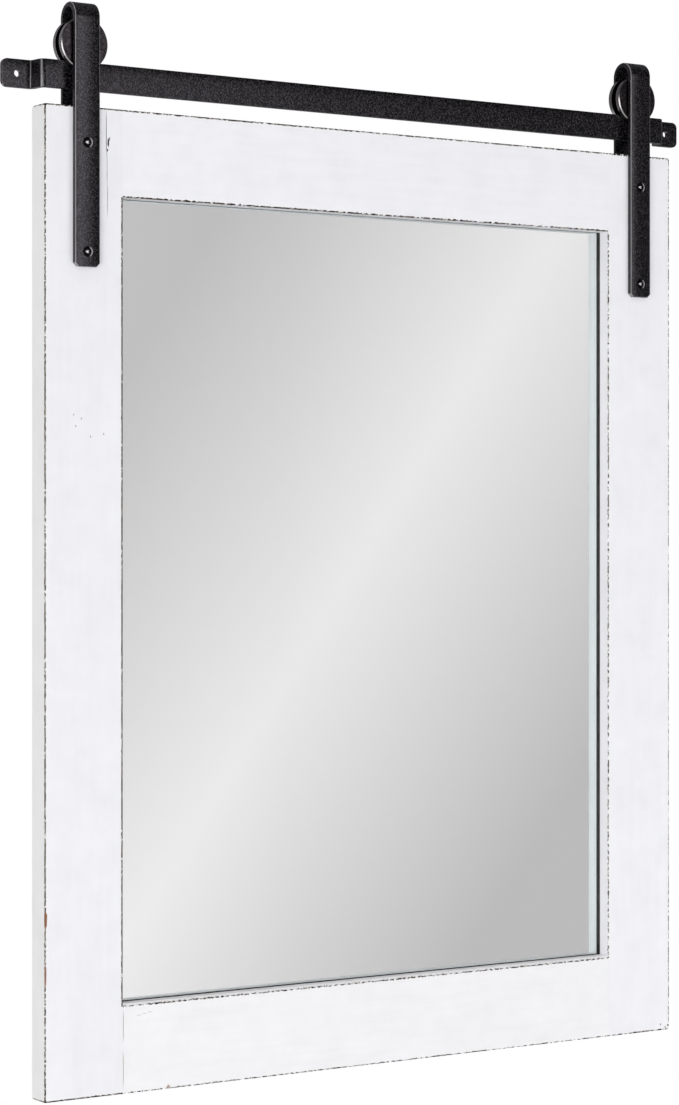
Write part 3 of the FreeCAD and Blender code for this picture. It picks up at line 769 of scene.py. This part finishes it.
def rail(end, tones, rub, outer_chips, inner_chips, marks=()):
    """A cross board, butted between the stiles."""
    node = end + "_rail"
    low, high = rail_boxes[end]
    outer_z, inner_z = (high.z, low.z) if end == "top" else (low.z, high.z)
    rise = LIP_RISE[end] * MM
    board = add_block("painted_" + node, low, high + Vector((0.0, 0.0, rise)))
    rubbed_low = low + Vector((0.0, 0.0, LOW_RUB)) * MM
    rubbed_high = high - Vector((0.0, 0.0, TOP_RUB[end])) * MM
    paint = white_paint("white_paint_" + node, tones, rubbed_low, rubbed_high, "X", rub)
    for finish in (paint, level_pine, old_wood, rubbed_wood):
        board.data.materials.append(finish)

    bpy.ops.object.mode_set(mode="EDIT")
    for level, width, steps in ((outer_z, ARRIS_ROUND, ARRIS_STEPS), (inner_z + rise, *LIP_ARRIS[end])):
        select_edges(board, lambda a, b: same(a.y, b.y, front_y) and same(a.z, b.z, level))
        bpy.ops.mesh.bevel(offset=width * MM, segments=steps, profile=0.5)
    for x in (low.x, high.x):
        select_edges(board, lambda a, b: same(a.y, b.y, front_y) and same(a.x, b.x, x))
        bpy.ops.mesh.bevel(offset=JOINT_HAIRLINE * MM, segments=1)
    bpy.ops.object.mode_set(mode="OBJECT")

    chips = []
    for level, wear in ((outer_z, outer_chips), (inner_z, inner_chips)):
        chips += chips_along(Vector((low.x, front_y, level)), Vector((high.x, front_y, level)), *wear)
    for spots, finish in ((chips, old_wood), *marks):
        cut_away(board, chip_cutter(spots, finish))
    cut_rabbet(board, paint if end == "top" else rabbet_painted_shade, LIP_RELIEF[end])
    finish_board(board, node)


# Marks of use, as places on the front and radii in millimetres

knocked_edge = [(front_point(-279.5, -590.0), (2.2, 1.2, 8.0)),
                (front_point(-279.5, -629.0), (1.4, 0.9, 11.0))]
crack_ends = [(front_point(-231.0, -39.0), (0.32, 0.7, 19.0)),
              (front_point(-229.9, -87.0), (0.2, 0.5, 13.0))]
crack_middle = [(front_point(-230.4, -64.0), (0.24, 0.6, 17.0))]
crack_chips = [(front_point(-229.4, -46.0), (0.8, 0.6, 3.6)),
               (front_point(-229.9, -51.5), (0.5, 0.4, 1.2)),
               (front_point(-228.3, -43.5), (0.4, 0.4, 1.5))]
pane_edge_chips = [(front_point(-217.5, level), (1.3, 0.5, 1.8))
                   for level in (*range(-631, -598, 4), -265, -261)]
# Dents, lined with the dark stained wood as painted shade, so that they show as dark ticks
dents = [(front_point(x, z), (0.3, 0.3, 0.9))
         for x, z in ((-256.8, -238.1), (-250.8, -240.8), (-255.2, -246.1), (-243.5, -253.2),
                      (-233.0, -251.3))]
corner_notch = [(front_point(-180.8, -717.0), (2.0, 0.8, 3.4))]
scratch = [(front_point(x, z), (2.3, 0.2, 0.16))
           for x, z in ((-204.6, -662.4), (-200.2, -661.6), (-195.8, -660.8))]
open_joint = [(front_point(-217.3, -669.0), (0.3, 0.5, 13.0)),
              (front_point(-217.3, -700.0), (0.3, 0.5, 14.0))]
right_corner = [(front_point(270.2, -716.3), (1.2, 0.5, 0.8)),
                (front_point(270.4, -712.2), (0.6, 0.4, 0.7)),
                (front_point(275.2, -714.7), (0.7, 0.4, 0.6)),
                (front_point(277.6, -713.4), (0.6, 0.4, 0.8))]

# Tones of thin, plain and thick paint, on the left board, on the bottom one and on the other two.
# The left board's tones are a little darker, as painted shade
LEFT_WHITE_PAINTED_SHADE = ("#ECECEF", "#F0F0F4", "#F4F4F8")
WARM_WHITE = ("#EFEFF1", "#F3F3F5", "#F7F7F9")
CLEAN_WHITE = ("#EFEFF2", "#F3F3F7", "#F7F7FB")

# Chips of each edge as their spacing and their bite, and bites of the low and top corners, in
# millimetres
stile("left", LEFT_WHITE_PAINTED_SHADE, rub=0.9, outer_chips=(5.0, 0.9), inner_chips=(6.0, 1.2), end_chips=(5.0, 1.2),
      corner_bites=(2.0, 2.4),
      marks=((knocked_edge, fresh_wood), (crack_ends, old_wood), (crack_middle, old_wood),
             (crack_chips, old_wood), (pane_edge_chips, old_wood), (dents, old_wood)))
stile("right", CLEAN_WHITE, rub=0.3, outer_chips=(9.0, 1.0), inner_chips=(6.0, 0.9), end_chips=(6.0, 1.2),
      corner_bites=(3.0, 2.0), marks=((right_corner, old_wood),))
rail("top", CLEAN_WHITE, rub=0.45, outer_chips=(5.0, 1.2), inner_chips=(5.0, 1.3))
rail("bottom", WARM_WHITE, rub=0.15, outer_chips=(6.0, 1.0), inner_chips=(5.0, 0.6),
     marks=((corner_notch, rubbed_wood), (scratch, rubbed_wood), (open_joint, rubbed_wood)))


# Pane, in millimetres

SILVER_GAP = 0.02
SEAMED_EDGE = 0.5


def pane():
    """The sheet of glass with its sharp edges ground off, a hair in front of the silver."""
    behind = Vector((0.0, SILVER_GAP * MM, 0.0))
    sheet = add_block("glass_pane", pane_low, pane_high - behind)
    bpy.ops.object.mode_set(mode="EDIT")
    bpy.ops.mesh.select_all(action="SELECT")
    bpy.ops.mesh.bevel(offset=SEAMED_EDGE * MM, segments=1)
    bpy.ops.object.mode_set(mode="OBJECT")
    bpy.ops.object.shade_flat()
    sheet.data.materials.append(float_glass("float_glass"))
    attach(sheet, DOOR)
    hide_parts("mirror_glass")


pane()


# Finishes of the pieces that keep their exact shape

zinc = plated_steel("zinc_plate", "#9FA3A8", "#C2C6CA", roughness=0.3, speckle=1.5)
nylon = moulded("natural_nylon", "#D9D3C4", "#E6E1D4", roughness=0.45, grain=1.0)
rubber = moulded("black_rubber", "#151515", "#232323", roughness=0.75, grain=0.6)
beech = bare_wood("beech_dowel", "#B98F63", "#D2AC80", "#E2C49C", ring_width=1.2, grain_axis="X")

finishes = {
    "track_bar": powder_coat("black_powder_coat_track", "track_bar", "Z"),
    "mirror_silvering": silver_coat("mirror_silver"),
    "backing_board": hardboard("brown_hardboard"),
    "framing_points": zinc,
    "wall_bumpers": rubber,
    "top_rail_dowels": beech,
    "bottom_rail_dowels": beech,
}
for side in SIDES:
    strap = side + "_hanger_strap"
    wheel = side + "_wheel"
    finishes[strap] = powder_coat("black_powder_coat_" + strap, strap, "X")
    finishes[side + "_axle"] = finishes[strap]
    finishes[wheel] = turned_wheel("blackened_" + wheel, wheel)
    finishes[side + "_wheel_bushing"] = nylon
    finishes[side + "_wheel_washers"] = zinc
    for screws in (side + "_front_screws", side + "_back_screw"):
        finishes[screws] = driven_screws("black_oxide_" + screws, screws)
for node, finish in finishes.items():
    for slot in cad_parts[node].material_slots:
        slot.material = finish


# Floor, light and camera, in metres

FLOOR_DROP = 0.9
FLOOR_SIZE = 5.0
FLOOR_CLEAR = 0.9


def pale_floor():
    """A plain pale floor well below the hung mirror, fading to white away from it."""
    deselect()
    bpy.ops.mesh.primitive_plane_add(size=FLOOR_SIZE, location=(0, 0, cad_box[0].z - FLOOR_DROP))
    floor = bpy.context.active_object
    floor.name = "floor"
    material, tree = new_material("pale_floor")
    place = add_node(tree, "ShaderNodeTexCoord").outputs["Object"]
    distance = add_node(tree, "ShaderNodeVectorMath", {0: place}, operation="LENGTH").outputs["Value"]
    fade = add_node(tree, "ShaderNodeMapRange",
                    {"Value": distance, "From Min": FLOOR_CLEAR, "From Max": FLOOR_SIZE / 2},
                    interpolation_type="SMOOTHSTEP")
    rays = add_node(tree, "ShaderNodeLightPath").outputs
    seen = add_node(tree, "ShaderNodeMath",
                    {0: rays["Is Camera Ray"], 1: rays["Is Glossy Ray"]}, operation="MAXIMUM")
    seen = add_node(tree, "ShaderNodeMath", {0: seen, 1: rays["Is Transmission Ray"]}, operation="MAXIMUM")
    share = add_node(tree, "ShaderNodeMath", {0: fade, 1: seen}, operation="MULTIPLY")
    matt = add_node(tree, "ShaderNodeBsdfDiffuse", {"Color": linear("#F2F2F2")})
    white = add_node(tree, "ShaderNodeEmission", {"Color": linear("#FFFFFF"), "Strength": 1.0})
    mixed = add_node(tree, "ShaderNodeMixShader", {0: share, 1: matt, 2: white})
    add_node(tree, "ShaderNodeOutputMaterial", {"Surface": mixed})
    floor.data.materials.append(material)


# The band that the pane mirrors: the normal of the plane through its middle, the sine of half its
# width, and its strength in the middle and beyond its edges
BAND_PLANE = (0.7081, 0.4758, -0.521)
BAND_HALF_WIDTH = 0.1
BAND_MIDDLE = 1.0
BAND_BEYOND = 0.61

# The lamps' light that the pane throws on the boards: where it comes from, and its strength there
LAMP_SIDE = (-0.6, 0.0, 0.8)
LAMP_STRENGTH = 4.2

SOFT_LIGHT = 0.5


def pane_reflection(tree, direction, rays):
    """Strength of what the pane mirrors: the band to the eye, and to the boards the lamps' light from
    the upper left."""
    slant = add_node(tree, "ShaderNodeVectorMath", {0: direction, 1: BAND_PLANE},
                     operation="DOT_PRODUCT").outputs["Value"]
    off_band = add_node(tree, "ShaderNodeMath", {0: slant}, operation="ABSOLUTE")
    band = add_node(tree, "ShaderNodeMapRange",
                    {"Value": off_band, "From Min": 0.0, "From Max": BAND_HALF_WIDTH,
                     "To Min": BAND_MIDDLE, "To Max": BAND_BEYOND})
    to_boards = add_node(tree, "ShaderNodeMath",
                         {0: rays["Diffuse Depth"], 1: 0.0}, operation="GREATER_THAN")
    lamp_side = add_node(tree, "ShaderNodeVectorMath", {0: direction, 1: LAMP_SIDE},
                         operation="DOT_PRODUCT").outputs["Value"]
    lamp_light = add_node(tree, "ShaderNodeMapRange",
                          {"Value": lamp_side, "From Min": -0.5, "From Max": 0.5,
                           "To Min": SOFT_LIGHT, "To Max": LAMP_STRENGTH})
    return add_node(tree, "ShaderNodeMix", {"Factor": to_boards, "A": band, "B": lamp_light},
                    data_type="FLOAT")


def metal_reflection(tree, direction):
    """Strength of what the metal mirrors: a pale strip in front that dims to the right, the left and
    upwards, dark sides, and the white backdrop behind."""
    toward = add_node(tree, "ShaderNodeSeparateXYZ", {0: direction}).outputs
    pale = add_node(tree, "ShaderNodeMapRange",
                    {"Value": toward["X"], "From Min": 0.42, "From Max": 0.53,
                     "To Min": 1.85, "To Max": 0.12})
    for axis, dark, bright in (("X", 0.05, 0.25), ("Z", 0.36, 0.18)):
        dimmer = add_node(tree, "ShaderNodeMapRange",
                          {"Value": toward[axis], "From Min": dark, "From Max": bright,
                           "To Min": 0.1, "To Max": 1.0})
        pale = add_node(tree, "ShaderNodeMath", {0: pale, 1: dimmer}, operation="MULTIPLY")
    front = add_node(tree, "ShaderNodeMapRange",
                     {"Value": toward["Y"], "From Min": -0.5, "From Max": -0.1,
                      "To Min": 1.0, "To Max": 0.0})
    behind = add_node(tree, "ShaderNodeMapRange",
                      {"Value": toward["Y"], "From Min": 0.86, "From Max": 0.95,
                       "To Min": 0.15, "To Max": 1.0})
    return add_node(tree, "ShaderNodeMix", {"Factor": front, "A": behind, "B": pale}, data_type="FLOAT")


def studio_world():
    """White to the eye and behind the object; round it a dim studio for the metal, pale in front, and
    for the pane a grey one with one pale slanting band."""
    world = bpy.data.worlds.new("studio")
    world.use_nodes = True
    tree = world.node_tree
    tree.nodes.clear()
    bpy.context.scene.world = world
    direction = add_node(tree, "ShaderNodeTexCoord").outputs["Generated"]
    rays = add_node(tree, "ShaderNodeLightPath").outputs
    glow = pane_reflection(tree, direction, rays)
    sheen = metal_reflection(tree, direction)
    soft = add_node(tree, "ShaderNodeBackground", {"Color": linear("#FFFFFF"), "Strength": SOFT_LIGHT})
    on_metal = add_node(tree, "ShaderNodeBackground", {"Color": linear("#FBF5FF"), "Strength": sheen})
    in_pane = add_node(tree, "ShaderNodeBackground", {"Color": linear("#FFF7F9"), "Strength": glow})
    backdrop = add_node(tree, "ShaderNodeBackground", {"Color": linear("#FFFFFF"), "Strength": 1.0})
    shown = soft
    for ray, seen in (("Is Glossy Ray", on_metal), ("Is Transmission Ray", in_pane),
                      ("Is Camera Ray", backdrop)):
        shown = add_node(tree, "ShaderNodeMixShader", {0: rays[ray], 1: shown, 2: seen})
    add_node(tree, "ShaderNodeOutputWorld", {"Surface": shown})


def softbox(name, place, width, height, watts, shines=False):
    """A soft area lamp aimed at the object, which the pane doesn't mirror; only one that shines shows on
    glossy surfaces."""
    lamp = bpy.data.lights.new(name, "AREA")
    lamp.shape = "RECTANGLE"
    lamp.size = width
    lamp.size_y = height
    lamp.energy = watts
    holder = bpy.data.objects.new(name, lamp)
    bpy.context.scene.collection.objects.link(holder)
    holder.location = place
    target = (cad_box[0] + cad_box[1]) / 2
    holder.rotation_euler = (target - Vector(place)).to_track_quat("-Z", "Y").to_euler()
    holder.visible_transmission = False
    holder.visible_glossy = shines


def camera():
    """The photographer's camera, held level, with the frame shifted as the picture is."""
    lens = bpy.data.cameras.new("camera")
    lens.lens = CAMERA_LENS
    lens.sensor_width = CAMERA_SENSOR
    lens.shift_x = SIDE_SHIFT
    lens.shift_y = HORIZON_SHIFT
    holder = bpy.data.objects.new("camera", lens)
    bpy.context.scene.collection.objects.link(holder)
    holder.location = CAMERA_PLACE
    holder.rotation_euler = (math.radians(90), 0, math.radians(CAMERA_YAW))
    bpy.context.scene.camera = holder


pale_floor()
studio_world()
softbox("key", (-2.7, -2.2, -0.7), width=2.6, height=2.4, watts=61.0, shines=True)
softbox("right", (1.6, -1.9, -1.3), width=1.6, height=1.6, watts=21.5)
softbox("top", (0.0, -0.15, 1.9), width=1.6, height=1.2, watts=9.0)
softbox("behind", (0.6, 2.2, 0.2), width=1.6, height=1.6, watts=14.0)
camera()
bpy.context.scene.view_settings.view_transform = "Standard"
